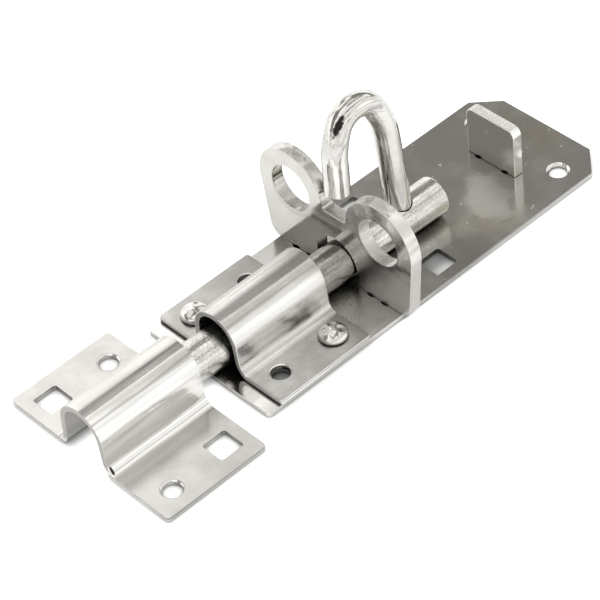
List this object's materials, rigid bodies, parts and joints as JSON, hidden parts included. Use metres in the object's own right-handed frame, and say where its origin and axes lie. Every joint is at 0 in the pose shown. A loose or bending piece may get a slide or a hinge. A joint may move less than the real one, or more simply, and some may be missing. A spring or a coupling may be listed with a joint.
{
  "type": "padbolt",
  "caption": "Surface bolt for a door or gate: a round rod slides in a strap guide on a back plate into a separate keep, and a hook on it takes a padlock with the ears plate.",
  "frame": {"origin": "middle of the back plate's rear face, where it lies on the door", "axes": "+X along the bolt towards the keep, +Z out from the door, +Y to the right when looking from the keep towards the tail"},
  "size_m": [0.2632, 0.095, 0.0817],
  "materials": {
    "zinc_sheet": "bright zinc plating on pressed sheet steel",
    "zinc_cut_plate": "bright zinc plating over a sheared plate edge",
    "zinc_bar": "bright zinc plating on round bar, a little mottled",
    "zinc_rivet": "bright zinc plating, crushed head"
  },
  "bodies": {
    "base": {"back_plate": "zinc_sheet", "end_stop": "zinc_cut_plate", "ears_plate": "zinc_cut_plate", "saddle": "zinc_sheet", "saddle_rivets": "zinc_rivet", "keep": "zinc_sheet"},
    "bolt": {"bolt_rod": "zinc_bar"},
    "hook": {"padlock_hook": "zinc_bar"}
  },
  "joints": [
    {"name": "bolt_slide", "type": "slide", "parent": "base", "child": "bolt", "axis": [0.9997, -0.0227, 0], "range_m": [-0.0354, 0.0225]},
    {"name": "hook_turn", "type": "hinge", "parent": "bolt", "child": "hook", "pos_m": [0.08, 0, 0.0113], "axis": [0.9997, -0.0227, 0], "range_deg": [-8.2, 0]}
  ]
}
